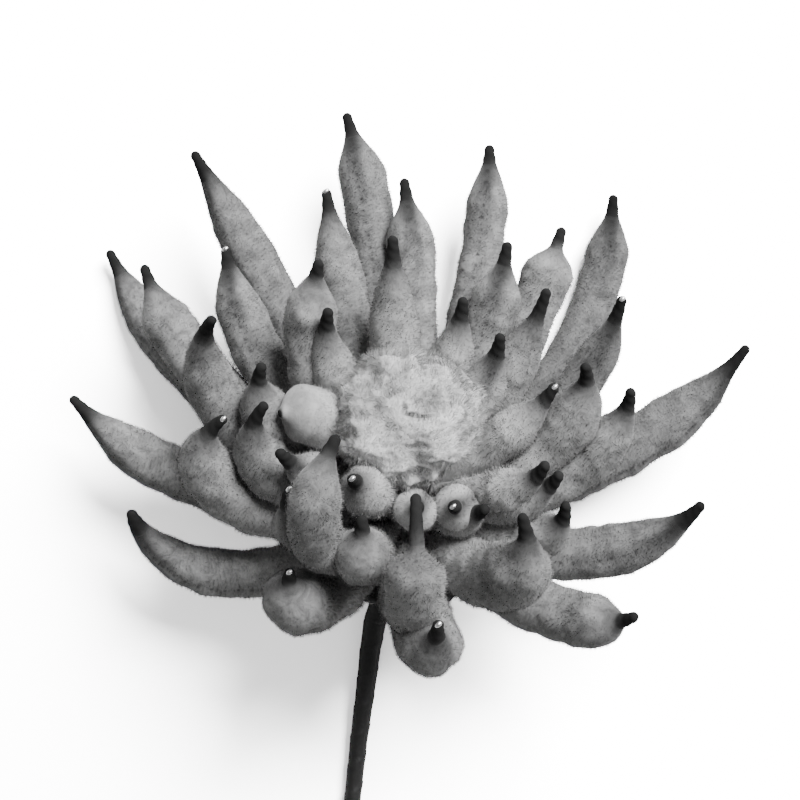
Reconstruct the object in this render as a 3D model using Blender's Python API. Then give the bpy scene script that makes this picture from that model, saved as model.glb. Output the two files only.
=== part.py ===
"""A chrysanthemum flower made of chenille petals on a taped wire stem, lying on a table.

Lengths are in metres. The table is z = 0, +Z is up, and the stem runs towards -Y. The bloom
is set out round its own axis, which starts at HUB, where the stem meets the lowest petals,
and leans over towards +Y. Once everything is built, the whole flower is moved so that the
origin is on the table, under the middle of its bounding box.
"""

import math

import bmesh
import bpy
from mathutils import Matrix, Vector

MM = 0.001
GAP = 0.3 * MM  # clearance between pieces that touch
WELD = 0.01 * MM
SLAB_SIZE = (0.4, 0.5, 0.02)  # of the block that trims what dips below the table

# The bloom's axis
HUB = Vector((0.0, 0.0, 22.0)) * MM
LEAN = math.radians(45)  # from upright, towards the far side of the table
HEADING = math.radians(3)  # that lean, turned a little to the right

# A petal is one bump of chenille: a plump body of pile that ends in a thin bare wire
WIRE_TIP_RADIUS = 1.0 * MM
WIRE_TIP_LENGTH = 6.0 * MM
PETAL_ROOT_RADIUS = 2.0 * MM
BASE_TAPER_LENGTH = 24.0 * MM  # from the root to the full body
PATH_STEPS = 40
PETAL_RINGS = (0.0, 0.08, 0.2, 0.34, 0.48, 0.62, 0.74, 0.85, 0.94, 1.0)  # root to wire tip
PETAL_BEVEL_RESOLUTION = 2  # eight sides

# The core is the bundle of bound petal ends, with its collar of pile below the petals
CORE_PROFILE = (  # height and radius in mm
    (-16.5, 6.5), (-14.5, 8.5), (-7.0, 10.0), (0.0, 10.5), (5.0, 9.5), (18.0, 8.5), (27.0, 7.0),
)
CORE_SIDES = 20

# Centre button: one bump of chenille wound into a bun, on a short end of its own wire
BUTTON_HEIGHT = 36.0 * MM  # of its middle, along the axis
BUTTON_RADIUS = 15.5 * MM
BUTTON_HALF_THICKNESS = 11.0 * MM
BUTTON_SEGMENTS = 28
BUTTON_RINGS = 12
BUTTON_DIMPLE_DEPTH = 3.5 * MM
BUTTON_DIMPLE_RADIUS = 4.5 * MM
BUTTON_LOBES = 5
BUTTON_LOBE_DEPTH = 0.5 * MM
BUTTON_LOBE_TWIST = 2.5  # radians, from the axis to the rim
SHANK_RADIUS = 1.2 * MM
SHANK_LENGTH = 20.0 * MM  # from the middle of the button

# Stem: a wire in a wrapping of tape. The points and the tape's radius there are in mm.
STEM_WIRE_RADIUS = 0.7 * MM
STEM_WIRE_TOP = 12.0 * MM  # along the bloom's axis
STEM_WIRE_END = 1.0 * MM  # bare, past the tape
STEM_TAPE_TOP = -10.0 * MM
STEM_BEVEL_RESOLUTION = 4  # twelve sides
STEM_POINTS = (
    (-1.5, -11.5, 10.6, 2.8),
    (-4.0, -17.0, 6.9, 2.8),
    (-6.2, -23.0, 5.0, 2.7),
    (-7.4, -30.0, 3.7, 2.4),
    (-8.6, -40.0, 2.7, 2.1),
    (-10.2, -52.0, 1.9, 1.8),
    (-11.5, -64.0, 1.65, 1.75),
    (-13.5, -85.0, 1.65, 1.75),
    (-16.5, -112.0, 1.65, 1.75),
)

# Each whorl: where its petals root on the core (height and radius in mm), then its petals.
# A petal: azimuth round the axis (0 right, 90 far side) and rise above the axis's cross plane,
# both averaged along it; how far the azimuth sways and the rise curls from root to tip, all in
# degrees; then its length, its thickness and the length of its taper into the wire tip in mm.
WHORLS = (
    (1.5, 4.5, (
        (105, 42, 20, 8, 90, 11.0, 11),
        (132, 38, 6, 8, 91, 10.6, 20),
        (142, 18, -20, 40, 93, 10.6, 16),
        (168, 15, -12, 56, 77, 11.0, 18),
        (183, 8, -40, 110, 66, 10.6, 24),
        (236, 34, 0, 110, 48, 13.0, 8),
        (279, 33, 0, 90, 56, 12.8, 12),
        (326, 14, 0, 70, 58, 11.4, 8),
        (355, 19, 24, 70, 66, 11.2, 18),
        (23, 22, 15, 52, 85, 11.8, 20),
        (59, 29, 52, 46, 92, 10.0, 10),
        (78, 40, 26, 8, 85, 9.6, 12),
    )),
    (5.0, 5.5, (
        (147, 29, -46, 20, 76, 10.8, 10),
        (136, 40, -46, 25, 67, 10.8, 12),
        (113, 48, -8, 12, 69, 10.6, 14),
        (95, 47, 20, 10, 70, 10.8, 10),
        (56, 43, 22, 18, 68, 11.0, 5),
        (36, 41, 30, 60, 66, 9.0, 10),
        (12, 41, 22, 86, 59, 10.8, 14),
        (308, 50, 0, 115, 55, 13.6, 14),
        (274, 65, 0, 170, 64, 11.4, 5),
        (241, 69, 6, 130, 63, 10.2, 10),
        (188, 50, -10, 138, 61, 12.0, 14),
        (164, 57, -37, 100, 70, 11.0, 18),
    )),
    (10.0, 6.5, (
        (15, 52, 22, 90, 52, 11.8, 12),
        (115, 62, -130, 30, 56, 11.0, 9),
        (62, 56, 26, 20, 56, 10.6, 9),
        (39, 57, 10, 28, 52, 10.6, 14),
        (331, 36, 0, 100, 42, 10.4, 12),
        (288, 50, -80, 0, 26, 10.0, 6),
        (312, 46, 0, 20, 26, 10.0, 10),
        (264, 50, 40, 100, 42, 11.0, 7),
        (226, 48, 0, 90, 42, 10.4, 10),
        (190, 56, 0, 110, 46, 13.0, 14),
        (178, 58, 0, 75, 47, 11.0, 10),
    )),
    (15.0, 7.0, (
        (101, 66, 0, 20, 50, 10.6, 18),
        (148, 71, 0, 45, 42, 10.4, 14),
        (61, 70, 0, 25, 40, 10.4, 14),
        (33, 67, 0, 35, 37, 10.4, 12),
        (8, 50, 0, 30, 36, 10.0, 12),
        (334, 39, 0, 60, 36, 10.4, 12),
        (332, 45, 0, 50, 35, 10.0, 12),
        (277, 50, 0, 20, 24, 9.4, 6),
        (245, 55, 0, 5, 31, 10.8, 8),
        (207, 45, 0, 30, 31, 10.4, 10),
        (190, 49, 35, -55, 32, 12.0, 4),
    )),
)


def bloom_frame():
    """The bloom's right, far-side and axis directions as a matrix from its frame to the world."""
    lean = Matrix.Rotation(-LEAN, 4, "X")
    return Matrix.Translation(HUB) @ Matrix.Rotation(-HEADING, 4, "Z") @ lean


def direction(azimuth, rise):
    """A unit vector in the bloom's frame."""
    flat = math.cos(rise)
    return Vector((flat * math.cos(azimuth), flat * math.sin(azimuth), math.sin(rise)))


def petal_path(root_height, root_radius, petal):
    """Points along a petal's middle, from its root to its tip, in the world."""
    azimuth, rise, sway, curl = (math.radians(angle) for angle in petal[:4])
    length = petal[4] * MM
    frame = bloom_frame()
    point = direction(azimuth - sway / 3, 0.0) * root_radius * MM
    point.z = root_height * MM
    points = [frame @ point]
    for index in range(PATH_STEPS):
        bend = ((index + 0.5) / PATH_STEPS) ** 2 - 1 / 3
        point = point + direction(azimuth + sway * bend, rise + curl * bend) * length / PATH_STEPS
        points.append(frame @ point)
    return points


def petal_radius(distance, length, thickness, taper):
    """The radius of a petal at a distance from its root; the sizes of the petal are in mm."""
    body = thickness * MM / 2
    from_wire = length * MM - WIRE_TIP_LENGTH - distance
    if from_wire <= 0:
        return WIRE_TIP_RADIUS
    tip_side = math.sin(math.pi / 2 * min(from_wire / (taper * MM), 1.0)) ** 1.2
    root_side = math.sin(math.pi / 2 * min(distance / BASE_TAPER_LENGTH, 1.0))
    return min(
        WIRE_TIP_RADIUS + (body - WIRE_TIP_RADIUS) * tip_side,
        PETAL_ROOT_RADIUS + (body - PETAL_ROOT_RADIUS) * root_side,
    )


def petal_rings(root_height, root_radius, petal):
    """A petal's ring centres and radii, from its root to the end of its wire tip."""
    length, thickness, taper = petal[4:]
    path = petal_path(root_height, root_radius, petal)
    body = length * MM - WIRE_TIP_LENGTH
    centres = []
    radii = []
    for distance in [ring * body for ring in PETAL_RINGS] + [length * MM]:
        place = distance / (length * MM) * PATH_STEPS
        step = min(int(place), PATH_STEPS - 1)
        centres.append(path[step].lerp(path[step + 1], place - step))
        radii.append(petal_radius(distance, length, thickness, taper))
    return centres, radii


def new_collection(name, shown=True):
    collection = bpy.data.collections.new(name)
    bpy.context.scene.collection.children.link(collection)
    collection.hide_render = not shown
    return collection


def add_mesh(name, mesh, collection):
    solid = bpy.data.objects.new(name, mesh)
    collection.objects.link(solid)
    if collection.hide_render:
        solid.hide_render = True
        solid.display_type = "WIRE"
    return solid


def sweep(name, centres, radii, resolution, collection):
    """A closed round solid along a line of points, with a radius at each."""
    curve = bpy.data.curves.new(name, "CURVE")
    curve.dimensions = "3D"
    curve.bevel_depth = 1.0
    curve.bevel_resolution = resolution
    curve.use_fill_caps = True
    spline = curve.splines.new("POLY")
    spline.points.add(len(centres) - 1)
    for point, centre, radius in zip(spline.points, centres, radii):
        point.co = (*centre, 1.0)
        point.radius = radius
    source = bpy.data.objects.new(name + "_curve", curve)
    bpy.context.scene.collection.objects.link(source)
    graph = bpy.context.evaluated_depsgraph_get()
    mesh = bpy.data.meshes.new_from_object(source.evaluated_get(graph))
    bpy.data.objects.remove(source)
    close_up(mesh)
    return add_mesh(name, mesh, collection)


def close_up(mesh):
    """Welds a mesh's seams and faces it outwards."""
    shape = bmesh.new()
    shape.from_mesh(mesh)
    bmesh.ops.remove_doubles(shape, verts=shape.verts, dist=WELD)
    bmesh.ops.dissolve_degenerate(shape, edges=shape.edges, dist=WELD)
    bmesh.ops.recalc_face_normals(shape, faces=shape.faces)
    shape.to_mesh(mesh)
    shape.free()


def combine(solid, operation, tools):
    """Joins or cuts a solid with a collection of others, which are then removed."""
    modifier = solid.modifiers.new(operation.lower(), "BOOLEAN")
    modifier.operation = operation
    modifier.operand_type = "COLLECTION"
    modifier.collection = tools
    modifier.solver = "MANIFOLD"
    bpy.context.view_layer.update()
    graph = bpy.context.evaluated_depsgraph_get()
    old = solid.data
    solid.data = bpy.data.meshes.new_from_object(solid.evaluated_get(graph))
    solid.modifiers.clear()
    bpy.data.meshes.remove(old)
    for tool in list(tools.objects):
        bpy.data.objects.remove(tool)
    bpy.data.collections.remove(tools)


def keep_largest_body(mesh):
    """Drops loose scraps and fills sealed hollows, which are separate bodies of faces."""
    shape = bmesh.new()
    shape.from_mesh(mesh)
    unseen = set(shape.faces)
    bodies = []
    while unseen:
        body = set()
        ahead = [unseen.pop()]
        while ahead:
            face = ahead.pop()
            body.add(face)
            for edge in face.edges:
                for other in edge.link_faces:
                    if other in unseen:
                        unseen.remove(other)
                        ahead.append(other)
        bodies.append(body)
    bodies.sort(key=len)
    loose = [face for body in bodies[:-1] for face in body]
    bmesh.ops.delete(shape, geom=loose, context="FACES")
    shape.to_mesh(mesh)
    shape.free()


def round_solid(name, profile, sides, collection):
    """A solid turned round the bloom's axis from heights and radii."""
    mesh = bpy.data.meshes.new(name)
    shape = bmesh.new()
    rings = [(profile[0][0], 0.0)] + list(profile) + [(profile[-1][0], 0.0)]
    line = [shape.verts.new((radius * MM, 0.0, height * MM)) for height, radius in rings]
    edges = [shape.edges.new(pair) for pair in zip(line, line[1:])]
    bmesh.ops.spin(
        shape, geom=line + edges, cent=(0, 0, 0), axis=(0, 0, 1), angle=math.tau, steps=sides,
    )
    bmesh.ops.transform(shape, matrix=bloom_frame(), verts=shape.verts)
    shape.to_mesh(mesh)
    shape.free()
    close_up(mesh)
    return add_mesh(name, mesh, collection)


def button_bun(name, spare, collection):
    """The wound bun of the centre button, larger all round by the spare."""
    mesh = bpy.data.meshes.new(name)
    shape = bmesh.new()
    bmesh.ops.create_uvsphere(
        shape, u_segments=BUTTON_SEGMENTS, v_segments=BUTTON_RINGS, radius=1.0,
    )
    for vert in shape.verts:
        across = math.hypot(vert.co.x, vert.co.y)
        angle = math.atan2(vert.co.y, vert.co.x)
        lobe = BUTTON_LOBE_DEPTH * across * math.cos(BUTTON_LOBES * angle + BUTTON_LOBE_TWIST * across)
        vert.co.x *= BUTTON_RADIUS + spare + lobe
        vert.co.y *= BUTTON_RADIUS + spare + lobe
        top = vert.co.z > 0
        vert.co.z *= BUTTON_HALF_THICKNESS + spare
        if top:
            from_dimple = across * BUTTON_RADIUS / BUTTON_DIMPLE_RADIUS
            vert.co.z -= BUTTON_DIMPLE_DEPTH * math.exp(-(from_dimple**2))
        vert.co.z += BUTTON_HEIGHT
    bmesh.ops.transform(shape, matrix=bloom_frame(), verts=shape.verts)
    shape.to_mesh(mesh)
    shape.free()
    close_up(mesh)
    return add_mesh(name, mesh, collection)


def button_shank(name, spare, collection):
    """The end of wire that holds the button in the core, larger all round by the spare."""
    frame = bloom_frame()
    top = frame @ Vector((0.0, 0.0, BUTTON_HEIGHT))
    end = frame @ Vector((0.0, 0.0, BUTTON_HEIGHT - SHANK_LENGTH - spare))
    radii = (SHANK_RADIUS + spare, SHANK_RADIUS + spare)
    return sweep(name, (top, end), radii, PETAL_BEVEL_RESOLUTION, collection)


def stem_tape_line(spare):
    """The tape's centres and radii from its top, larger all round by the spare."""
    top = bloom_frame() @ Vector((0.0, 0.0, STEM_TAPE_TOP + spare))
    centres = [top] + [Vector(point[:3]) * MM for point in STEM_POINTS]
    radii = [point[3] * MM + spare for point in STEM_POINTS]
    return centres, [radii[0]] + radii


def stem_wire(name, spare, collection):
    """The stem's wire, from inside the core to past the tape, larger by the spare."""
    frame = bloom_frame()
    top = frame @ Vector((0.0, 0.0, STEM_WIRE_TOP + spare))
    centres = [top] + stem_tape_line(0.0)[0]
    past = (centres[-1] - centres[-2]).normalized() * (STEM_WIRE_END + 3 * spare)
    centres.append(centres[-1] + past)
    radii = [STEM_WIRE_RADIUS + spare] * len(centres)
    return sweep(name, centres, radii, PETAL_BEVEL_RESOLUTION, collection)


def slab_under_table(name, collection):
    """A block whose top is the table, to trim what dips below it."""
    mesh = bpy.data.meshes.new(name)
    shape = bmesh.new()
    bmesh.ops.create_cube(shape, size=1.0)
    bmesh.ops.scale(shape, vec=SLAB_SIZE, verts=shape.verts)
    bmesh.ops.translate(shape, vec=(0.0, 0.0, -SLAB_SIZE[2] / 2), verts=shape.verts)
    shape.to_mesh(mesh)
    shape.free()
    return add_mesh(name, mesh, collection)


def paint(solid, name, colour, roughness, metallic=0.0, sheen=0.0):
    material = bpy.data.materials.new(name)
    material.use_nodes = True
    shader = material.node_tree.nodes["Principled BSDF"]
    shader.inputs["Base Color"].default_value = (*colour, 1.0)
    shader.inputs["Roughness"].default_value = roughness
    shader.inputs["Metallic"].default_value = metallic
    shader.inputs["Sheen Weight"].default_value = sheen
    solid.data.materials.clear()
    solid.data.materials.append(material)


# Start from an empty scene
for old in list(bpy.data.objects):
    bpy.data.objects.remove(old)
flower = new_collection("chenille_flower")

# Petals: the core and every petal become one body
bloom = round_solid("bloom_petals", CORE_PROFILE, CORE_SIDES, flower)
petals = new_collection("petals_to_join", shown=False)
for whorl, (root_height, root_radius, rows) in enumerate(WHORLS, 1):
    for number, row in enumerate(rows, 1):
        ring_centres, ring_radii = petal_rings(root_height, root_radius, row)
        sweep(f"petal_{whorl}_{number}", ring_centres, ring_radii, PETAL_BEVEL_RESOLUTION, petals)
combine(bloom, "UNION", petals)

# Room in the petals for the button, the stem and the table
room = new_collection("room_in_petals", shown=False)
button_bun("room_for_button", GAP, room)
button_shank("room_for_shank", GAP, room)
stem_wire("room_for_wire", GAP, room)
sweep("room_for_tape", *stem_tape_line(GAP), STEM_BEVEL_RESOLUTION, room)
slab_under_table("petals_trim", room)
combine(bloom, "DIFFERENCE", room)
keep_largest_body(bloom.data)

# Centre button with its shank
button = button_bun("centre_button", 0.0, flower)
shank = new_collection("shank_to_join", shown=False)
button_shank("button_shank", 0.0, shank)
combine(button, "UNION", shank)

# Stem wire, and the tape wound round it
wire = stem_wire("stem_wire", 0.0, flower)
tape = sweep("stem_tape", *stem_tape_line(0.0), STEM_BEVEL_RESOLUTION, flower)
hollow = new_collection("room_in_tape", shown=False)
stem_wire("tape_bore", GAP, hollow)
slab_under_table("tape_trim", hollow)
combine(tape, "DIFFERENCE", hollow)

paint(bloom, "chenille_pile", (0.36, 0.36, 0.36), 0.9, sheen=0.5)
paint(button, "light_chenille_pile", (0.6, 0.6, 0.6), 0.9, sheen=0.5)
paint(wire, "steel_wire", (0.45, 0.45, 0.45), 0.35, metallic=1.0)
paint(tape, "dark_tape", (0.02, 0.02, 0.02), 0.7)

# Put the origin on the table, under the middle of the bounding box
solids = (bloom, button, wire, tape)
corners = [vert.co for solid in solids for vert in solid.data.vertices]
middle_x = (min(corner.x for corner in corners) + max(corner.x for corner in corners)) / 2
middle_y = (min(corner.y for corner in corners) + max(corner.y for corner in corners)) / 2
for solid in solids:
    solid.data.transform(Matrix.Translation((-middle_x, -middle_y, 0.0)))
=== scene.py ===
"""A chrysanthemum flower of chenille petals on a taped stem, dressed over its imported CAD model.

Lengths are in metres. The flower lies on a table at z = 0 with its stem towards -Y.
"""

import math

import bmesh
import bpy
import numpy as np
from mathutils import Matrix, Vector, noise


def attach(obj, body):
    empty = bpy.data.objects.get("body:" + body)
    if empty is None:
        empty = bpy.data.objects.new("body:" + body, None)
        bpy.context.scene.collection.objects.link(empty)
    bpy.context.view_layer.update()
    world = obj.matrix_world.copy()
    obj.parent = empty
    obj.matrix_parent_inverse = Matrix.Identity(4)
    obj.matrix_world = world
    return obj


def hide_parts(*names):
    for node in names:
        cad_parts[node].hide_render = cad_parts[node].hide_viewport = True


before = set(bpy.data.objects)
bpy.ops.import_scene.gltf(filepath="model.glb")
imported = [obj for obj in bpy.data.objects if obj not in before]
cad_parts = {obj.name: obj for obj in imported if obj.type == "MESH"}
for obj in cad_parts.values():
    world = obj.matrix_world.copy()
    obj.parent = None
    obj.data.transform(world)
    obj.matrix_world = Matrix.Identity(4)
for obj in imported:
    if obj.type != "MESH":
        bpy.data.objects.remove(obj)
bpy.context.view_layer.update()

# Camera, table and light.
# The flower is photographed from straight above its middle at arm's length, on a plain white
# table, with a soft window-like light from the upper right and a pale room all round.
MM = 0.001
CAMERA_HEIGHT = 0.340
PHOTO_WIDTH_AT_CAMERA = 800 / 1430  # the view's width over its distance
CAMERA_X = -0.0017
CAMERA_Y = 0.0380
TABLE_OVEREXPOSED = 6.6  # the table's white as the photograph has it, burnt out

camera_data = bpy.data.cameras.new("photo_camera")
camera_data.sensor_width = 36.0
camera_data.lens = 36.0 / PHOTO_WIDTH_AT_CAMERA
camera_data.clip_start = 0.01
camera = bpy.data.objects.new("photo_camera", camera_data)
camera.location = (CAMERA_X, CAMERA_Y, CAMERA_HEIGHT)
bpy.context.scene.collection.objects.link(camera)
bpy.context.scene.camera = camera

bpy.ops.mesh.primitive_plane_add(size=3.0, location=(0.0, 0.0, -0.0002))
table = bpy.context.object
table.name = "table"
table_finish = bpy.data.materials.new("white_table")
table_finish.use_nodes = True
table_tree = table_finish.node_tree
table_tree.nodes.remove(table_tree.nodes["Principled BSDF"])
table_white = table_tree.nodes.new("ShaderNodeBsdfDiffuse")
table_seen = table_tree.nodes.new("ShaderNodeMix")
table_seen.data_type = "RGBA"
table_seen.inputs["A"].default_value = (0.7, 0.7, 0.7, 1.0)
table_seen.inputs["B"].default_value = (TABLE_OVEREXPOSED, TABLE_OVEREXPOSED, TABLE_OVEREXPOSED, 1.0)
table_rays = table_tree.nodes.new("ShaderNodeLightPath")
table_tree.links.new(table_rays.outputs["Is Camera Ray"], table_seen.inputs["Factor"])
table_tree.links.new(table_seen.outputs["Result"], table_white.inputs["Color"])
table_tree.links.new(table_white.outputs["BSDF"], table_tree.nodes["Material Output"].inputs["Surface"])
table.data.materials.append(table_finish)

KEY_DIRECTION = Vector((0.50, 0.70, 0.95)).normalized()
key_data = bpy.data.lights.new("window_light", "AREA")
key_data.shape = "DISK"
key_data.size = 0.55
key_data.energy = 34.0
key = bpy.data.objects.new("window_light", key_data)
key.location = Vector((0.0, 0.01, 0.0)) + KEY_DIRECTION * 1.0
key.rotation_euler = KEY_DIRECTION.to_track_quat("Z", "Y").to_euler()
bpy.context.scene.collection.objects.link(key)

room = bpy.data.worlds.new("pale_room")
room.use_nodes = True
room.node_tree.nodes["Background"].inputs["Color"].default_value = (1.0, 1.0, 1.0, 1.0)
room.node_tree.nodes["Background"].inputs["Strength"].default_value = 0.26
bpy.context.scene.world = room

# Chenille petals.
# Each petal is one bump of a chenille stem: pile caught between two twisted wires, plump in the
# middle and clipped short towards the wire tip, bent to shape and bound by its root to the rest.
HUB = Vector((-1.2, 9.9, 22.0)) * MM
LEAN = math.radians(45)
HEADING = math.radians(3)
WIRE_TIP_RADIUS = 1.0 * MM
NECK_RADIUS = 1.6 * MM  # where the wire tip widens into the body
WIRE_TWIST = 2.1 * MM
PETAL_ROOT_RADIUS = 2.0 * MM
BASE_TAPER_LENGTH = 24.0 * MM
PATH_STEPS = 60
PETAL_SIDES = 30
PETAL_RINGS = 76
RING_CROWDING = 1.5  # rings stand closer towards the tip
CORE_GROOVE = 0.5 * MM  # where the pile parts along the wire
CORE_GROOVE_WIDTH = 1.0 * MM
LUMP = 0.05  # of the radius
PILE_PITCH = 0.95 * MM  # from one turn of pile to the next
ROW_WIDTH = 0.7  # of the pitch
FIBRES_PER_SQUARE_MM = 11.0
FIBRE_LENGTH = 0.7 * MM
FIBRE_WIDTH = 0.085 * MM
FIBRE_TONES = 0.4  # from the dullest fibre to the brightest
PILE_LAYERS = ("from_tip", "from_core", "from_root", "from_bare", "tone")
RESTS_AT = 0.1 * MM  # the bellies that lie on the table are flattened here
SEED = 11

# Azimuth, rise, sway, curl (degrees), length, thickness and taper (mm), tone, the parting's turn
# to the right of the petal's upper side (degrees) and the length of the bare wire tip (mm). Along the
# parting the dark wire shows through the pile; on several petals the parting is turned to the side
# away from the light, where its dark band is partly the wire and partly painted shade.
WHORLS = (
    (1.5, 4.5, (
        (105, 42, 20, 8, 90, 11.0, 11, 0.84, -15, 5),
        (132, 38, 6, 8, 91, 10.6, 20, 0.76, -55, 5),
        (142, 18, -20, 40, 93, 10.6, 16, 0.95, -60, 5),
        (168, 15, -12, 56, 77, 11.0, 18, 1.15, -60, 5),
        (183, 8, -40, 110, 66, 10.6, 24, 1.1, -45, 3),
        (236, 34, 0, 110, 48, 13.0, 8, 0.85, 180, 3),
        (279, 33, 0, 90, 56, 12.8, 12, 0.95, 180, 5),
        (326, 14, 0, 70, 58, 11.4, 8, 0.82, 180, 5),
        (355, 19, 24, 70, 66, 11.2, 18, 0.64, 15, 5),
        (23, 22, 15, 52, 85, 11.8, 20, 0.66, 50, 6),
        (59, 29, 52, 46, 92, 10.0, 10, 0.64, -5, 5),
        (78, 40, 26, 8, 85, 9.6, 12, 0.85, -15, 4),
    )),
    (5.0, 5.5, (
        (147, 29, -46, 20, 76, 10.8, 10, 0.95, 180, 5),
        (136, 40, -46, 25, 67, 10.8, 12, 1.0, -10, 4),
        (113, 48, -8, 12, 69, 10.6, 14, 1.0, 180, 5),
        (95, 47, 20, 10, 70, 10.8, 10, 1.0, 5, 5),
        (56, 43, 22, 18, 68, 11.0, 5, 1.05, 180, 5),
        (36, 41, 30, 60, 66, 9.0, 10, 0.66, -5, 6),
        (12, 41, 22, 86, 59, 10.8, 14, 1.0, 180, 5),
        (308, 50, 0, 115, 55, 13.6, 14, 0.9, 180, 5),
        (274, 65, 0, 170, 64, 11.4, 5, 1.05, 180, 11),
        (241, 69, 6, 130, 63, 10.2, 10, 0.8, 180, 4),
        (188, 50, -10, 138, 61, 12.0, 14, 1.0, 180, 5),
        (164, 57, -37, 100, 70, 11.0, 18, 0.9, 180, 6),
    )),
    (10.0, 6.5, (
        (15, 52, 22, 90, 52, 11.8, 12, 1.0, 180, 5),
        (115, 62, -130, 30, 56, 11.0, 9, 1.0, 180, 4),
        (62, 56, 26, 20, 56, 10.6, 9, 1.0, -10, 5),
        (39, 57, 10, 28, 52, 10.6, 14, 1.0, 180, 7),
        (331, 36, 0, 100, 42, 10.4, 12, 1.0, 180, 5),
        (288, 50, -80, 0, 26, 10.0, 6, 1.15, 180, 3),
        (312, 46, 0, 20, 26, 10.0, 10, 1.0, 180, 4),
        (264, 50, 40, 100, 42, 11.0, 7, 1.0, 180, 4),
        (226, 48, 0, 90, 42, 10.4, 10, 1.0, 180, 5),
        (190, 56, 0, 110, 46, 13.0, 14, 0.9, 180, 6),
        (178, 58, 0, 75, 47, 11.0, 10, 1.0, 180, 5),
    )),
    (15.0, 7.0, (
        (101, 66, 0, 20, 50, 10.6, 18, 1.05, 180, 5),
        (148, 71, 0, 45, 42, 10.4, 14, 1.0, 180, 5),
        (61, 70, 0, 25, 40, 10.4, 14, 1.1, 180, 5),
        (33, 67, 0, 35, 37, 10.4, 12, 1.0, 0, 5),
        (8, 50, 0, 30, 36, 10.0, 12, 1.15, 180, 5),
        (334, 39, 0, 60, 36, 10.4, 12, 1.2, 180, 5),
        (332, 45, 0, 50, 35, 10.0, 12, 1.2, 180, 5),
        (277, 50, 0, 20, 24, 9.4, 6, 1.15, 180, 3),
        (245, 55, 0, 5, 31, 10.8, 8, 1.05, 180, 4),
        (207, 45, 0, 30, 31, 10.4, 10, 1.0, 0, 5),
        (190, 49, 35, -55, 32, 12.0, 4, 1.15, 180, 1),
    )),
)


def bloom_frame():
    """From the bloom's right, far-side and axis directions to the world."""
    lean = Matrix.Rotation(-LEAN, 4, "X")
    return Matrix.Translation(HUB) @ Matrix.Rotation(-HEADING, 4, "Z") @ lean


def direction(azimuth, rise):
    flat = math.cos(rise)
    return Vector((flat * math.cos(azimuth), flat * math.sin(azimuth), math.sin(rise)))


def petal_path(root_height, root_radius, row):
    """Points along a petal's middle, from its root to its tip."""
    azimuth, rise, sway, curl = (math.radians(angle) for angle in row[:4])
    length = row[4] * MM
    place = bloom_frame()
    point = direction(azimuth - sway / 3, 0.0) * root_radius * MM
    point.z = root_height * MM
    points = [place @ point]
    for index in range(PATH_STEPS):
        bend = ((index + 0.5) / PATH_STEPS) ** 2 - 1 / 3
        point = point + direction(azimuth + sway * bend, rise + curl * bend) * length / PATH_STEPS
        points.append(place @ point)
    return points


def petal_radius(distance, length, thickness, taper, bare):
    """The radius of a petal's pile at a distance from its root; its sizes are in mm."""
    body = thickness * MM / 2
    from_tip = length * MM - distance
    if from_tip <= bare * MM:
        rounding = math.sqrt(1 - (1 - min(from_tip / WIRE_TIP_RADIUS, 1.0)) ** 2)
        widening = (from_tip / (bare * MM)) ** 1.3
        return WIRE_TIP_RADIUS * rounding + (NECK_RADIUS - WIRE_TIP_RADIUS) * widening
    shoulder = min((from_tip - bare * MM) / (taper * MM), 1.0)
    root_side = math.sin(math.pi / 2 * min(distance / BASE_TAPER_LENGTH, 1.0))
    return min(
        NECK_RADIUS + (body - NECK_RADIUS) * math.sin(math.pi / 2 * shoulder) ** 1.2,
        PETAL_ROOT_RADIUS + (body - PETAL_ROOT_RADIUS) * root_side,
    )


def frames_along(points):
    """A point's direction, its upper side and its right, turned as little as possible."""
    frames = []
    side = None
    for index in range(len(points)):
        ahead = points[min(index + 1, len(points) - 1)] - points[max(index - 1, 0)]
        ahead.normalize()
        if side is None:
            side = ahead.orthogonal()
        side = (side - ahead * side.dot(ahead)).normalized()
        frames.append((ahead, side, ahead.cross(side)))
    ahead, side, over = frames[len(frames) * 6 // 10]
    upper = Vector((0.0, 0.0, 1.0))
    turn = math.atan2(upper.dot(over), upper.dot(side))
    return [(ahead, side * math.cos(turn) + over * math.sin(turn),
             over * math.cos(turn) - side * math.sin(turn)) for ahead, side, over in frames]


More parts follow.
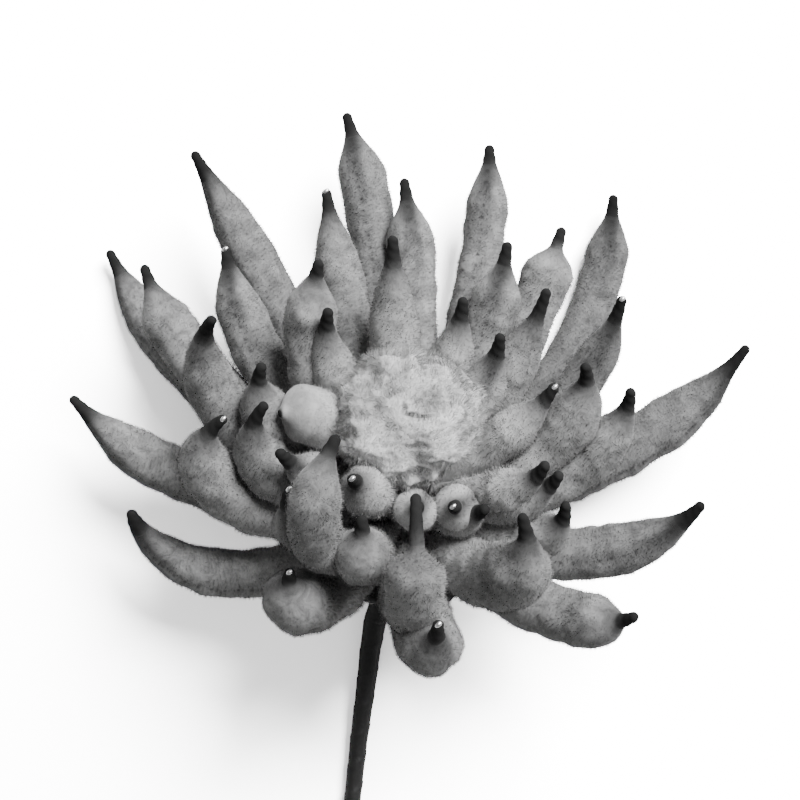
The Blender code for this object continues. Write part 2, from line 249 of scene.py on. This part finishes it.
def pile_body(path, length, radius_at, parting, fade, tone, phase):
    """A bmesh of the pile's surface: a grid wrapped round the path and closed at its ends."""
    shape = bmesh.new()
    bmesh.ops.create_grid(shape, x_segments=PETAL_SIDES, y_segments=PETAL_RINGS, size=1.0)
    layers = [shape.verts.layers.float.new(name) for name in PILE_LAYERS]
    frames = frames_along(path)
    for vert in shape.verts:
        turn = math.pi * vert.co.x
        from_tip = length * ((1 - vert.co.y) / 2) ** RING_CROWDING
        place = (1 - from_tip / length) * (len(path) - 1)
        step = min(int(place), len(path) - 2)
        centre = path[step].lerp(path[step + 1], place - step)
        ahead, upper, right = frames[min(int(place + 0.5), len(path) - 1)]
        out = upper * math.cos(turn) + right * math.sin(turn)
        radius = radius_at(length - from_tip)
        off_parting = abs((turn - parting + math.pi) % (2 * math.pi) - math.pi) * radius
        spot = (centre + out * radius) / (4.5 * MM) + phase
        loose = min(from_tip / (12 * MM), 1.0)
        radius *= 1 + loose * (LUMP * 2 * noise.noise(spot) + LUMP * noise.noise(spot * 2.3))
        radius -= CORE_GROOVE * loose * math.exp(-((off_parting / CORE_GROOVE_WIDTH) ** 2))
        bare = min(3 * max(1 - from_tip / (7 * MM), 0.0), 1.0)
        bare *= (NECK_RADIUS / max(radius, NECK_RADIUS)) ** 3
        radius *= 1 + 0.05 * bare * math.cos(2 * turn - 2 * math.pi * from_tip / WIRE_TWIST)
        vert.co = centre + out * radius
        from_root = length - from_tip
        values = (from_tip / MM, off_parting / MM, from_root / MM, from_tip / fade, tone)
        for layer, value in zip(layers, values):
            vert[layer] = value
    bmesh.ops.remove_doubles(shape, verts=shape.verts, dist=0.002 * MM)
    bmesh.ops.holes_fill(shape, edges=[edge for edge in shape.edges if edge.is_boundary])
    for face in shape.faces:
        face.smooth = True
    bmesh.ops.recalc_face_normals(shape, faces=shape.faces)
    return shape


def grow_fibres(shape, per_square_mm, length, width, comb, draw):
    """Fine fibres over a bmesh's faces, as thin blades; comb gives a fibre's lean and its length."""
    layers = list(shape.verts.layers.float.values())
    strand = shape.verts.layers.float.new("along_fibre")
    layers = [shape.verts.layers.float[layer.name] for layer in layers]
    shape.normal_update()
    faces = [face for face in shape.faces if len(face.verts) == 4]
    counts = draw.poisson(np.array([face.calc_area() for face in faces]) / MM**2 * per_square_mm)
    normals = {vert: vert.normal.copy() for vert in shape.verts}
    for face, count in zip(faces, counts):
        corners = [vert.co.copy() for vert in face.verts]
        outs = [normals[vert] for vert in face.verts]
        values = [face.verts[0][layer] for layer in layers]
        lean, tall = comb(corners[0], outs[0], face.verts[0])
        if tall <= 0.0:
            continue
        near, far = face.verts[1][layers[0]], face.verts[2][layers[0]]
        for across, along, stray_x, stray_y, stray_z, size in draw.random((count, 6)):
            from_tip = near + (far - near) * along
            if (from_tip * MM / PILE_PITCH) % 1.0 > ROW_WIDTH + max(1 - from_tip / 22.0, 0.0):
                continue
            base = corners[0].lerp(corners[1], across).lerp(corners[3].lerp(corners[2], across), along)
            out = outs[0].lerp(outs[1], across).lerp(outs[3].lerp(outs[2], across), along)
            stray = Vector((stray_x - 0.5, stray_y - 0.5, stray_z - 0.5))
            reach = (out + lean + stray * 0.9).normalized() * length * tall * (0.6 + 0.8 * size)
            wide = reach.cross(stray).normalized() * width / 2
            start = base - out * 0.15 * MM
            blade = [shape.verts.new(spot) for spot in (start - wide, start + wide, start + reach)]
            blade[2][strand] = 1.0
            for vert in blade:
                for layer, value in zip(layers, values):
                    vert[layer] = value
                vert[layers[-1]] *= 0.85 + FIBRE_TONES * stray_z
                normals[vert] = out
            shape.faces.new(blade).smooth = True
    return normals


def finish_pile(name, shape, normals, material, slot, *nodes):
    """Makes a pile piece of a bmesh, with its fibres shaded as the surface they grow from."""
    for vert in shape.verts:
        vert.co.z = max(vert.co.z, RESTS_AT)
    shape.verts.index_update()
    mesh = bpy.data.meshes.new(name)
    directions = [tuple(normals[vert]) for vert in shape.verts]
    shape.to_mesh(mesh)
    shape.free()
    mesh.normals_split_custom_set_from_vertices(directions)
    piece = bpy.data.objects.new(name, mesh)
    bpy.context.scene.collection.objects.link(piece)
    mesh.materials.append(material)
    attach(piece, "root")
    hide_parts(*nodes)
    return piece


def pile_flecks():
    """A node group for the pile's uneven light: soft clumps with finer flecks inside them."""
    group = bpy.data.node_groups.new("pile_flecks", "ShaderNodeTree")
    group.interface.new_socket("Clump Scale", in_out="INPUT", socket_type="NodeSocketFloat")
    group.interface.new_socket("Tone", in_out="OUTPUT", socket_type="NodeSocketFloat")
    ins = group.nodes.new("NodeGroupInput")
    outs = group.nodes.new("NodeGroupOutput")
    place = group.nodes.new("ShaderNodeTexCoord")
    clumps = group.nodes.new("ShaderNodeTexNoise")
    clumps.inputs["Detail"].default_value = 5.0
    clumps.inputs["Roughness"].default_value = 0.7
    clumps.inputs["Distortion"].default_value = 0.6
    spread = group.nodes.new("ShaderNodeMapRange")
    spread.inputs["From Min"].default_value = 0.33
    spread.inputs["From Max"].default_value = 0.68
    group.links.new(place.outputs["Object"], clumps.inputs["Vector"])
    group.links.new(ins.outputs["Clump Scale"], clumps.inputs["Scale"])
    group.links.new(clumps.outputs["Fac"], spread.inputs["Value"])
    group.links.new(spread.outputs["Result"], outs.inputs["Tone"])
    return group


def attribute_of(tree, name):
    node = tree.nodes.new("ShaderNodeAttribute")
    node.attribute_name = name
    return node.outputs["Fac"]


def ramp(tree, source, low, high, bottom=0.0, top=1.0):
    """Carries a value smoothly from bottom, where the source is low, to top, where it is high."""
    node = tree.nodes.new("ShaderNodeMapRange")
    node.interpolation_type = "SMOOTHSTEP"
    for name, value in (("From Min", low), ("From Max", high), ("To Min", bottom), ("To Max", top)):
        node.inputs[name].default_value = value
    tree.links.new(source, node.inputs["Value"])
    return node.outputs["Result"]


def reckon(tree, operation, *sources):
    node = tree.nodes.new("ShaderNodeMath")
    node.operation = operation
    for socket, source in zip(node.inputs, sources):
        if isinstance(source, float):
            socket.default_value = source
        else:
            tree.links.new(source, socket)
    return node.outputs["Value"]


def blend(tree, factor, colour_a, colour_b):
    node = tree.nodes.new("ShaderNodeMix")
    node.data_type = "RGBA"
    tree.links.new(factor, node.inputs["Factor"])
    for name, colour in (("A", colour_a), ("B", colour_b)):
        if isinstance(colour, float):
            node.inputs[name].default_value = (colour, colour, colour, 1.0)
        else:
            tree.links.new(colour, node.inputs[name])
    return node.outputs["Result"]


def pile_material(name, deep, pale, root_pale, dark_core, clump_scale, sheen):
    """Soft pile: clumped and flecked, ribbed by its turns, paler by the root, dark at the wire."""
    material = bpy.data.materials.new(name)
    material.use_nodes = True
    tree = material.node_tree
    shader = tree.nodes["Principled BSDF"]
    shader.inputs["Roughness"].default_value = 0.9
    shader.inputs["Specular IOR Level"].default_value = 0.1
    shader.inputs["Sheen Weight"].default_value = sheen
    shader.inputs["Sheen Roughness"].default_value = 0.45

    flecks = tree.nodes.new("ShaderNodeGroup")
    flecks.node_tree = fleck_group
    flecks.inputs["Clump Scale"].default_value = clump_scale
    clumped = flecks.outputs["Tone"]
    from_tip, from_core = attribute_of(tree, "from_tip"), attribute_of(tree, "from_core")
    slanted = reckon(tree, "MULTIPLY_ADD", from_core, 0.35, from_tip)
    wandering = reckon(tree, "MULTIPLY_ADD", clumped, 1.2, slanted)
    turns = reckon(tree, "SINE", reckon(tree, "MULTIPLY", wandering, 2 * math.pi * MM / PILE_PITCH))
    rib_strength = ramp(tree, from_tip, 8.0, 26.0, 0.0, RIB_CONTRAST)
    ribbed = reckon(tree, "MULTIPLY_ADD", turns, rib_strength, clumped)
    outer = blend(tree, ribbed, deep, pale)
    body = blend(tree, ramp(tree, attribute_of(tree, "from_root"), 6.0, 42.0, 0.75, 0.0), outer, root_pale)

    # The dark band along the parting: the wire showing through, and on petals whose parting is turned away
    # from the light, partly painted shade.
    off_core = ramp(tree, from_core, 0.4, 3.2)
    up_core = ramp(tree, from_tip, CORE_SHOWS / MM * 0.25, CORE_SHOWS / MM)
    core_shade = reckon(tree, "MAXIMUM", off_core, up_core)
    bobbles = reckon(tree, "SINE", reckon(tree, "MULTIPLY", from_tip, 2 * math.pi * MM / BOBBLE_PITCH))
    between = ramp(tree, bobbles, 0.55, 0.85, 1.0, 0.0)
    beside = ramp(tree, from_core, 0.25, 0.75)
    beyond = ramp(tree, from_tip, BOBBLES_TO / MM * 0.8, BOBBLES_TO / MM)
    dots = reckon(tree, "MAXIMUM", reckon(tree, "MAXIMUM", between, beside), beyond)
    past_wire = ramp(tree, attribute_of(tree, "from_bare"), 0.25, 1.0)
    soft_core = reckon(tree, "MULTIPLY_ADD", core_shade, 0.75, 0.25)
    soft_dots = reckon(tree, "MULTIPLY_ADD", dots, 0.55, 0.45)
    clear = reckon(tree, "MULTIPLY", past_wire, reckon(tree, "MULTIPLY", soft_core, soft_dots))
    shaded = blend(tree, clear, dark_core, body)
    toned = tree.nodes.new("ShaderNodeVectorMath")
    toned.operation = "SCALE"
    tree.links.new(shaded, toned.inputs[0])
    tree.links.new(attribute_of(tree, "tone"), toned.inputs["Scale"])
    tree.links.new(toned.outputs["Vector"], shader.inputs["Base Color"])

    relief = tree.nodes.new("ShaderNodeBump")
    relief.inputs["Strength"].default_value = 0.5
    relief.inputs["Distance"].default_value = 0.12 * MM
    tree.links.new(ribbed, relief.inputs["Height"])
    tree.links.new(relief.outputs["Normal"], shader.inputs["Normal"])
    return material


def petal_comb(place, out, vert):
    """Petal fibres stand straight out, short by the wire tip and long by the fluffy root."""
    from_tip = vert[petal.verts.layers.float["from_tip"]]
    from_root = vert[petal.verts.layers.float["from_root"]]
    if from_root < 5.0 or from_tip < 3.5:
        return Vector(), 0.0
    return Vector(), min(1.0, 0.3 + (from_tip - 3.5) / 14.0) + 0.9 * max(1 - from_root / 34.0, 0.0)


RIB_CONTRAST = 0.09
WIRE_SHOWS = 0.5  # of the way from the tip to where the pile hides the wire
CORE_SHOWS = 26.0 * MM  # how far from the tip the wire darkens the pile
BOBBLE_PITCH = 2.8 * MM  # the twist seen in the parting
BOBBLES_TO = 60.0 * MM
fleck_group = pile_flecks()
petal_pile = pile_material("petal_pile", 0.11, 0.26, 0.42, 0.016, 300.0, 0.2)
wire_tip = pile_material("wire_tip", 0.11, 0.26, 0.42, 0.012, 300.0, 0.0)
draw = np.random.default_rng(SEED)
tips = []
for whorl, (root_height, root_radius, rows) in enumerate(WHORLS, 1):
    for number, row in enumerate(rows, 1):
        path = petal_path(root_height, root_radius, row)
        petal = pile_body(
            path, row[4] * MM, lambda distance: petal_radius(distance, *row[4:7], row[9]),
            math.radians(row[8]), max(row[9] * 2.0 - 3.0 + row[6] * 0.4, 0.4) * MM, row[7],
            Vector((whorl * 7.1, number * 3.7, 0.0)),
        )
        pile_normals = grow_fibres(
            petal, FIBRES_PER_SQUARE_MM, FIBRE_LENGTH, FIBRE_WIDTH, petal_comb, draw)
        tips.append(path)
        piece = finish_pile(
            f"petal_{whorl}_{number}", petal, pile_normals, petal_pile, "chenille_pile",
            "bloom_petals",
        )
        piece.data.materials.append(wire_tip)
        depths = piece.data.attributes["from_bare"].data
        for face in piece.data.polygons:
            if depths[face.vertices[0]].value < WIRE_SHOWS:
                face.material_index = 1

# Cut wire ends.
# Where the twisted wires were nipped off, the bare steel shows as a small bright bead at the very
# end of some of the dark wire tips.
BEAD_RADIUS = 0.62 * MM
BRIGHT_TIPS = ((1, 6), (1, 7), (2, 2), (2, 3), (2, 6), (2, 11), (3, 6), (3, 9), (4, 5), (4, 9))

steel = bpy.data.materials.new("cut_steel")
steel.use_nodes = True
steel_shader = steel.node_tree.nodes["Principled BSDF"]
steel_shader.inputs["Metallic"].default_value = 1.0
steel_scratches = steel.node_tree.nodes.new("ShaderNodeGroup")
steel_scratches.node_tree = fleck_group
steel_scratches.inputs["Clump Scale"].default_value = 900.0
steel_gloss = ramp(steel.node_tree, steel_scratches.outputs["Tone"], 0.0, 1.0, 0.22, 0.45)
steel.node_tree.links.new(steel_gloss, steel_shader.inputs["Roughness"])
steel_tone = blend(steel.node_tree, steel_scratches.outputs["Tone"], 0.75, 0.95)
steel.node_tree.links.new(steel_tone, steel_shader.inputs["Base Color"])

whorl_starts = [sum(len(rows) for _, _, rows in WHORLS[:index]) for index in range(len(WHORLS))]
beads = bmesh.new()
for whorl, number in BRIGHT_TIPS:
    path = tips[whorl_starts[whorl - 1] + number - 1]
    ahead = (path[-1] - path[-3]).normalized()
    skyward = Vector((0.0, 0.0, 1.0)) + ahead * 0.6
    spot = path[-1] - ahead * WIRE_TIP_RADIUS + skyward.normalized() * (WIRE_TIP_RADIUS - 0.15 * MM)
    stretch = Matrix.Diagonal((1.25, 0.8, 0.8, 1.0))
    bmesh.ops.create_uvsphere(
        beads, u_segments=16, v_segments=10, radius=BEAD_RADIUS,
        matrix=Matrix.Translation(spot) @ Matrix.Rotation(0.7, 4, "Z") @ stretch,
    )
for face in beads.faces:
    face.smooth = True
bead_mesh = bpy.data.meshes.new("cut_wire_ends")
beads.to_mesh(bead_mesh)
beads.free()
bead_mesh.materials.append(steel)
bead_piece = bpy.data.objects.new("cut_wire_ends", bead_mesh)
bpy.context.scene.collection.objects.link(bead_piece)
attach(bead_piece, "root")
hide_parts("bloom_petals")

# Base pile.
# Under the petals their bound roots spread the pile into a shallow cup round the top of the stem,
# with a thin ragged rim that shows in the gaps between the lowest petals. The cup is painted dark
# as the shade in those gaps, and its rim painted much lighter as a highlight.
CUP_PROFILE = (  # height along the bloom's axis and radius, in mm, from the stem to the inside
    (-9.6, 3.2), (-9.8, 7.0), (-9.0, 12.0), (-7.2, 16.0), (-5.2, 18.8), (-4.2, 19.6), (-4.0, 18.8),
    (-4.4, 15.0), (-4.6, 9.0), (-4.6, 2.0),
)
CUP_SIDES = 180
CUP_RINGS = 36

cup = bmesh.new()
bmesh.ops.create_grid(cup, x_segments=CUP_SIDES, y_segments=CUP_RINGS, size=1.0)
cup_layers = [cup.verts.layers.float.new(name) for name in PILE_LAYERS]
for vert in cup.verts:
    turn = math.pi * vert.co.x
    place = (vert.co.y + 1) / 2 * (len(CUP_PROFILE) - 1)
    step = min(int(place), len(CUP_PROFILE) - 2)
    low, high = Vector(CUP_PROFILE[step]), Vector(CUP_PROFILE[step + 1])
    height, radius = low.lerp(high, place - step)
    spot = Vector((math.cos(turn) * 3, math.sin(turn) * 3, radius / 12))
    radius *= 1 + radius / 20 * (0.10 * noise.noise(spot * 1.3) + 0.07 * noise.noise(spot * 5))
    height += radius / 20 * (1.6 * noise.noise(spot * 1.7) + 0.8 * noise.noise(spot * 4.1))
    vert.co = Vector((math.cos(turn) * radius, math.sin(turn) * radius, height)) * MM
    # The last value is the tone: painted shade over the cup, rising to a painted highlight at the rim.
    for layer, value in zip(cup_layers, (60.0, 30.0, 45.0, 5.0, 0.5 + 1.3 * (radius / 20) ** 8)):
        vert[layer] = value
bmesh.ops.remove_doubles(cup, verts=cup.verts, dist=0.002 * MM)
bmesh.ops.holes_fill(cup, edges=[edge for edge in cup.edges if edge.is_boundary])
bmesh.ops.transform(cup, matrix=bloom_frame(), verts=cup.verts)
for face in cup.faces:
    face.smooth = True
bmesh.ops.recalc_face_normals(cup, faces=cup.faces)
cup_normals = grow_fibres(cup, 8.0, 0.8 * MM, 0.06 * MM, lambda *_: (Vector(), 1.0), draw)
finish_pile("base_pile", cup, cup_normals, petal_pile, "chenille_pile", "bloom_petals")

# Centre button.
# A tuft of paler, longer pile wound into a soft bun and tied down by a stitch that leaves a slit,
# painted dark as shade, with puffs, folds and loose wisps all round it. The puffs and bulges are
# painted lighter as highlight and the hollows darker as shade.
BUTTON_HEIGHT = 36.0 * MM
BUTTON_RADIUS = 14.5 * MM
BUTTON_HALF_THICKNESS = 10.0 * MM
# Puffs (+) and hollows (-) as the camera sees them: across and up from the middle, their widths
# across and up, and their height, all in mm. Besides shaping the bun they paint its tone: lighter on
# the puffs as painted highlight, darker in the hollows as painted shade.
BUTTON_FOLDS = (
    (0.4, 0.0, 1.4, 0.3, -2.2), (2.4, -0.5, 1.8, 0.3, -2.2), (-1.0, 1.2, 0.6, 1.0, -1.2),
    (4.4, 3.2, 4.0, 2.6, -2.4), (3.2, -3.0, 2.6, 1.6, 0.9), (-7.0, 6.2, 4.6, 1.7, -1.1),
    (-3.6, 4.4, 2.2, 1.3, -0.8), (-4.6, 10.0, 4.2, 1.3, 1.9), (0.6, 9.0, 1.4, 2.8, 1.6),
    (-10.8, -2.0, 3.4, 1.0, 0.8), (-11.2, 1.4, 2.8, 0.9, 0.7), (-9.4, -7.0, 3.4, 3.0, 2.2),
    (-7.6, -4.6, 2.4, 2.6, 0.7), (1.2, -8.4, 2.2, 2.4, -0.8), (-1.6, -9.4, 1.6, 2.8, 0.8),
    (4.4, -9.2, 1.6, 2.6, 0.9), (9.4, -7.0, 3.0, 3.0, 1.0), (10.6, -1.0, 2.4, 2.4, 0.6),
    (-5.0, -12.8, 2.6, 2.4, 2.6), (0.0, -13.8, 2.0, 2.4, 3.0), (4.6, -13.2, 2.2, 2.2, 2.2),
    (12.0, -10.5, 3.0, 2.4, 1.6),
)

button = bmesh.new()
bmesh.ops.create_uvsphere(button, u_segments=220, v_segments=150, radius=1.0)
button_layers = [button.verts.layers.float.new(name) for name in PILE_LAYERS]
toward_camera = bloom_frame().to_3x3().inverted() @ Vector((0.0, 0.0, 1.0))
camera_up = bloom_frame().to_3x3().inverted() @ Vector((0.0, 1.0, 0.0))
camera_right = toward_camera.cross(-camera_up).normalized()
for vert in button.verts:
    direction_out = vert.co.normalized()
    billow = 0.08 * noise.noise(vert.co * 2.1) + 0.05 * noise.noise(vert.co * 4.6)
    billow += 0.02 * noise.noise(vert.co * 11.0)
    middle = Vector((
        vert.co.x * BUTTON_RADIUS, vert.co.y * BUTTON_RADIUS, vert.co.z * BUTTON_HALF_THICKNESS,
    )) * (1.0 + billow)
    seen_across, seen_up = middle.dot(camera_right) / MM, middle.dot(camera_up) / MM
    facing = min(max(direction_out.dot(toward_camera) + 0.6, 0.0), 1.0)
    fold = sum(
        height * math.exp(-(((seen_across - x) / wide) ** 2) - ((seen_up - y) / tall) ** 2)
        for x, y, wide, tall, height in BUTTON_FOLDS
    )
    vert.co = middle + direction_out * fold * facing * MM + Vector((0.0, 0.0, BUTTON_HEIGHT))
    # Painted light in the tone: lighter on puffs and bulges (painted highlight), darker in hollows and dips
    # (painted shade).
    tone_with_painted_light = 0.88 + 0.12 * max(min(fold, 1.4), -2.5) * facing + 2.2 * billow
    for layer, value in zip(button_layers, (60.0, 30.0, 30.0, 5.0, tone_with_painted_light)):
        vert[layer] = value
bmesh.ops.transform(button, matrix=bloom_frame(), verts=button.verts)
for face in button.faces:
    face.smooth = True


def button_comb(place, out, vert):
    """Wisps of the bun lie over in drifts, all one way within a drift, and stray at its rim."""
    rim = max(1 - abs(out.z) / 0.7, 0.0)
    drift = noise.noise_vector(place / (9.0 * MM)) + noise.noise_vector(place / (4.0 * MM)) * 0.4
    drift -= out * drift.dot(out)
    return drift * (0.7 + rim), 1.0 + 1.3 * rim


button_pile = pile_material("button_pile", 0.38, 0.50, 0.5, 0.1, 260.0, 0.4)
button_normals = grow_fibres(button, 28.0, 0.95 * MM, 0.05 * MM, button_comb, draw)
finish_pile("centre_button_pile", button, button_normals, button_pile, "light_chenille_pile", "centre_button")

# Stem tape.
# The stem's wires are wound from the bloom down with dark, slightly waxy florist's tape, whose
# overlapping turns stand out as low slanting ridges.
TAPE_TOP = -10.0 * MM
TAPE_POINTS = (  # from under the hub: across, along and up, with the radius, in mm
    (-1.5, -11.5, 10.6, 2.8),
    (-4.0, -17.0, 6.9, 2.8),
    (-6.2, -23.0, 5.0, 2.7),
    (-7.4, -30.0, 3.7, 2.5),
    (-8.6, -40.0, 2.7, 2.3),
    (-10.2, -52.0, 1.9, 2.1),
    (-11.5, -64.0, 1.65, 2.0),
    (-13.5, -85.0, 1.65, 2.0),
    (-16.5, -112.0, 1.65, 2.0),
)
TAPE_TURN = 7.0 * MM  # from one ridge to the next
TAPE_RIDGE = 0.16 * MM
TAPE_SIDES = 36
TAPE_RINGS = 260

tape_path = [bloom_frame() @ Vector((0.0, 0.0, TAPE_TOP))]
tape_path += [Vector((HUB.x, HUB.y, 0.0)) + Vector(point[:3]) * MM for point in TAPE_POINTS]
tape_radii = [TAPE_POINTS[0][3] * MM] + [point[3] * MM for point in TAPE_POINTS]
tape_reach = [0.0]
for before, after in zip(tape_path, tape_path[1:]):
    tape_reach.append(tape_reach[-1] + (after - before).length)
tape = bmesh.new()
bmesh.ops.create_grid(tape, x_segments=TAPE_SIDES, y_segments=TAPE_RINGS, size=1.0)
wound = tape.verts.layers.float.new("wound")
for vert in tape.verts:
    along = tape_reach[-1] * (vert.co.y + 1) / 2
    turn = math.pi * vert.co.x
    step = max(index for index, reach in enumerate(tape_reach[:-1]) if reach <= along)
    share = (along - tape_reach[step]) / (tape_reach[step + 1] - tape_reach[step])
    centre = tape_path[step].lerp(tape_path[step + 1], share)
    ahead = (tape_path[step + 1] - tape_path[step]).normalized()
    right = ahead.cross(Vector((0.0, 0.0, 1.0))).normalized()
    out = right * math.cos(turn) + right.cross(ahead) * math.sin(turn)
    turns = along / TAPE_TURN + turn / (2 * math.pi)
    ridge = (1.0 - turns % 1.0) ** 3
    radius = tape_radii[step] + (tape_radii[step + 1] - tape_radii[step]) * share
    crinkle = 0.05 * MM * noise.noise(centre / (1.6 * MM) + out * 2)
    vert.co = centre + out * (radius - TAPE_RIDGE * 0.4 + TAPE_RIDGE * ridge + crinkle)
    vert.co.z = max(vert.co.z, RESTS_AT)
    vert[wound] = turns
bmesh.ops.remove_doubles(tape, verts=tape.verts, dist=0.002 * MM)
bmesh.ops.holes_fill(tape, edges=[edge for edge in tape.edges if edge.is_boundary])
for face in tape.faces:
    face.smooth = True
bmesh.ops.recalc_face_normals(tape, faces=tape.faces)
tape_mesh = bpy.data.meshes.new("stem_tape_winding")
tape.to_mesh(tape_mesh)
tape.free()

tape_finish = bpy.data.materials.new("waxy_tape")
tape_finish.use_nodes = True
tape_nodes = tape_finish.node_tree
tape_shader = tape_nodes.nodes["Principled BSDF"]
tape_shader.inputs["Roughness"].default_value = 0.55
tape_creases = tape_nodes.nodes.new("ShaderNodeGroup")
tape_creases.node_tree = fleck_group
tape_creases.inputs["Clump Scale"].default_value = 700.0
turned = reckon(tape_nodes, "FRACT", attribute_of(tape_nodes, "wound"))
overlap = ramp(tape_nodes, turned, 0.0, 0.14, 1.0, 0.0)
tape_light = reckon(tape_nodes, "MULTIPLY_ADD", overlap, 0.5, tape_creases.outputs["Tone"])
tape_tone = blend(tape_nodes, tape_light, 0.006, 0.014)
tape_nodes.links.new(tape_tone, tape_shader.inputs["Base Color"])
tape_relief = tape_nodes.nodes.new("ShaderNodeBump")
tape_relief.inputs["Strength"].default_value = 0.4
tape_relief.inputs["Distance"].default_value = 0.08 * MM
tape_nodes.links.new(tape_creases.outputs["Tone"], tape_relief.inputs["Height"])
tape_nodes.links.new(tape_relief.outputs["Normal"], tape_shader.inputs["Normal"])
tape_mesh.materials.append(tape_finish)
tape_piece = bpy.data.objects.new("stem_tape_winding", tape_mesh)
bpy.context.scene.collection.objects.link(tape_piece)
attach(tape_piece, "root")
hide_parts("stem_tape")

# Stem wire.
# Only the cut end of the wire shows past the tape; it keeps the CAD's shape, in the same steel
# as the beads.
stem_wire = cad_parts["stem_wire"]
stem_wire.data.materials.clear()
stem_wire.data.materials.append(steel)
